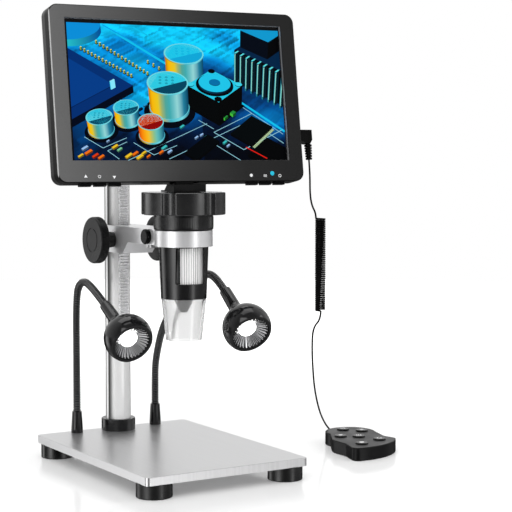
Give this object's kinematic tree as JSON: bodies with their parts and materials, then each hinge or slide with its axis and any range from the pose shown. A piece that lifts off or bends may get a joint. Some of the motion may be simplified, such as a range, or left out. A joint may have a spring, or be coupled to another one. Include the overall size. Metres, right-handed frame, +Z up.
{
  "type": "lcd digital microscope",
  "caption": "Digital microscope with its own tilting screen, on a rack-and-pinion pole stand with a flat stage, gooseneck lamps and a wired remote.",
  "frame": {"origin": "the point of the stage's top face under the lens axis", "axes": "+X to the user's right, +Y away from the user towards the pole, +Z up"},
  "size_m": [0.3385, 0.2202, 0.3947],
  "materials": {
    "stage_metal": "fine brushed",
    "carriage_metal": "satin",
    "pole_steel": "polished",
    "rack_steel": "machined",
    "screw_steel": "plain",
    "foot_rubber": "matt",
    "black_metal": "satin",
    "black_satin": "satin",
    "black_gloss": "gloss",
    "bearing_plastic": "plain",
    "lead_black": "satin",
    "clear_plastic": "clear",
    "lens_glass": "coated",
    "reflector_bright": "bright",
    "drum_silver": "bright, ribbed",
    "emitter_white": "lit",
    "screen_glass": "lit picture",
    "board_green": "lacquered",
    "battery_grey": "foil",
    "indicator_cyan": "lit"
  },
  "bodies": {
    "stand": {"base_plate": "stage_metal", "rubber_feet": "foot_rubber", "stand_screws": "screw_steel", "pole": "pole_steel", "gear_rack": "rack_steel", "pole_cap": "black_satin", "pole_collar": "black_metal", "remote_base": "black_satin", "remote_cover": "black_satin", "remote_board": "board_green", "lower_lead": "lead_black"},
    "lamp_left_arm": {"lamp_foot_left": "black_metal", "neck_lower_left": "black_metal"},
    "lamp_left_head": {"neck_upper_left": "black_metal", "lamp_shell_left": "black_gloss", "lamp_reflector_left": "reflector_bright", "lamp_emitter_left": "emitter_white"},
    "lamp_right_arm": {"lamp_foot_right": "black_metal", "neck_lower_right": "black_metal"},
    "lamp_right_head": {"neck_upper_right": "black_metal", "lamp_shell_right": "black_gloss", "lamp_reflector_right": "reflector_bright", "lamp_emitter_right": "emitter_white"},
    "carriage": {"carriage": "carriage_metal", "carriage_bushings": "bearing_plastic"},
    "pinion": {"pinion_shaft": "rack_steel", "focus_knobs": "black_satin"},
    "clamp_screw": {"clamp_screw": "black_metal"},
    "head": {"barrel_shell": "black_satin", "clear_shield": "clear_plastic", "led_ring": "board_green", "neck_block": "black_satin", "sensor_board": "board_green"},
    "focus_wheel": {"focus_wheel": "black_satin", "focus_drum": "drum_silver"},
    "lens": {"lens_carrier": "black_metal", "objective_lens": "lens_glass"},
    "screen": {"display_bezel": "black_satin", "lcd_panel": "screen_glass", "back_cover": "black_satin", "main_board": "board_green", "battery_pack": "battery_grey", "cover_screws": "screw_steel", "status_led": "indicator_cyan", "hinge_pin": "screw_steel", "plug": "lead_black", "upper_lead": "lead_black", "coil": "lead_black"},
    "display_button_1": {"display_button_1": "black_satin"},
    "display_button_2": {"display_button_2": "black_satin"},
    "display_button_3": {"display_button_3": "black_satin"},
    "display_button_4": {"display_button_4": "black_satin"},
    "display_button_5": {"display_button_5": "black_satin"},
    "display_button_6": {"display_button_6": "black_satin"},
    "remote_button_1": {"remote_button_1": "foot_rubber"},
    "remote_button_2": {"remote_button_2": "foot_rubber"},
    "remote_button_3": {"remote_button_3": "foot_rubber"},
    "remote_button_4": {"remote_button_4": "foot_rubber"},
    "remote_button_5": {"remote_button_5": "foot_rubber"},
    "remote_button_6": {"remote_button_6": "foot_rubber"}
  },
  "joints": [
    {"name": "left_lamp_swing", "type": "hinge", "parent": "stand", "child": "lamp_left_arm", "pos_m": [-0.0402, 0.129, 0], "axis": [0, 0, 1], "range_deg": [-60, 2]},
    {"name": "left_lamp_bend", "type": "hinge", "parent": "lamp_left_arm", "child": "lamp_left_head", "pos_m": [-0.0402, 0.129, 0.064], "axis": [-0.9986, 0.0523, 0], "range_deg": [-12, 8]},
    {"name": "right_lamp_swing", "type": "hinge", "parent": "stand", "child": "lamp_right_arm", "pos_m": [0.0402, 0.129, 0], "axis": [0, 0, 1], "range_deg": [-2, 20]},
    {"name": "right_lamp_bend", "type": "hinge", "parent": "lamp_right_arm", "child": "lamp_right_head", "pos_m": [0.0402, 0.129, 0.04], "axis": [-0.9986, -0.0523, 0], "range_deg": [-12, 8]},
    {"name": "carriage_slide", "type": "slide", "parent": "stand", "child": "carriage", "axis": [0, 0, 1], "range_m": [-0.07, 0.05], "deforming": ["lower_lead"]},
    {"name": "pinion_spin", "type": "hinge", "parent": "carriage", "child": "pinion", "pos_m": [0, 0.1042, 0.1767], "axis": [1, 0, 0], "range_deg": [-400, 560]},
    {"name": "clamp_screw_turn", "type": "hinge", "parent": "carriage", "child": "clamp_screw", "pos_m": [-0.0153, 0.036, 0.1825], "axis": [1, 0, 0], "range_deg": [-90, 0]},
    {"name": "head_turn", "type": "hinge", "parent": "carriage", "child": "head", "pos_m": [0, 0, 0.1825], "axis": [0, 0, 1], "range_deg": [-40, 40]},
    {"name": "focus_turn", "type": "hinge", "parent": "head", "child": "focus_wheel", "pos_m": [0, 0, 0.212], "axis": [0, 0, 1], "range_deg": [-150, 150]},
    {"name": "lens_lift", "type": "slide", "parent": "head", "child": "lens", "axis": [0, 0, 1], "range_m": [-0.005, 0.005]},
    {"name": "screen_tilt", "type": "hinge", "parent": "head", "child": "screen", "pos_m": [0.00034, 0.00399, 0.236], "axis": [-0.9965, 0.0837, 0], "range_deg": [-8.7, 30]},
    {"name": "display_button_1_press", "type": "slide", "parent": "screen", "child": "display_button_1", "axis": [0.0127, 0.1507, 0.9885], "range_m": [0, 0.0008], "stiffness_N_per_m": 600, "springref_m": -0.0005},
    {"name": "display_button_2_press", "type": "slide", "parent": "screen", "child": "display_button_2", "axis": [0.0127, 0.1507, 0.9885], "range_m": [0, 0.0008], "stiffness_N_per_m": 600, "springref_m": -0.0005},
    {"name": "display_button_3_press", "type": "slide", "parent": "screen", "child": "display_button_3", "axis": [0.0127, 0.1507, 0.9885], "range_m": [0, 0.0008], "stiffness_N_per_m": 600, "springref_m": -0.0005},
    {"name": "display_button_4_press", "type": "slide", "parent": "screen", "child": "display_button_4", "axis": [0.0127, 0.1507, 0.9885], "range_m": [0, 0.0008], "stiffness_N_per_m": 600, "springref_m": -0.0005},
    {"name": "display_button_5_press", "type": "slide", "parent": "screen", "child": "display_button_5", "axis": [0.0127, 0.1507, 0.9885], "range_m": [0, 0.0008], "stiffness_N_per_m": 600, "springref_m": -0.0005},
    {"name": "display_button_6_press", "type": "slide", "parent": "screen", "child": "display_button_6", "axis": [0.0127, 0.1507, 0.9885], "range_m": [0, 0.0008], "stiffness_N_per_m": 600, "springref_m": -0.0005},
    {"name": "remote_button_1_press", "type": "slide", "parent": "stand", "child": "remote_button_1", "axis": [0, 0, -1], "range_m": [0, 0.0008], "stiffness_N_per_m": 600, "springref_m": -0.0005},
    {"name": "remote_button_2_press", "type": "slide", "parent": "stand", "child": "remote_button_2", "axis": [0, 0, -1], "range_m": [0, 0.0008], "stiffness_N_per_m": 600, "springref_m": -0.0005},
    {"name": "remote_button_3_press", "type": "slide", "parent": "stand", "child": "remote_button_3", "axis": [0, 0, -1], "range_m": [0, 0.0008], "stiffness_N_per_m": 600, "springref_m": -0.0005},
    {"name": "remote_button_4_press", "type": "slide", "parent": "stand", "child": "remote_button_4", "axis": [0, 0, -1], "range_m": [0, 0.0008], "stiffness_N_per_m": 600, "springref_m": -0.0005},
    {"name": "remote_button_5_press", "type": "slide", "parent": "stand", "child": "remote_button_5", "axis": [0, 0, -1], "range_m": [0, 0.0008], "stiffness_N_per_m": 600, "springref_m": -0.0005},
    {"name": "remote_button_6_press", "type": "slide", "parent": "stand", "child": "remote_button_6", "axis": [0, 0, -1], "range_m": [0, 0.0008], "stiffness_N_per_m": 600, "springref_m": -0.0005}
  ],
  "couplings": [
    {"joint": "pinion_spin", "follows": "carriage_slide", "rad_per_m": -138.89},
    {"joint": "lens_lift", "follows": "focus_turn", "m_per_rad": 0.0019}
  ]
}
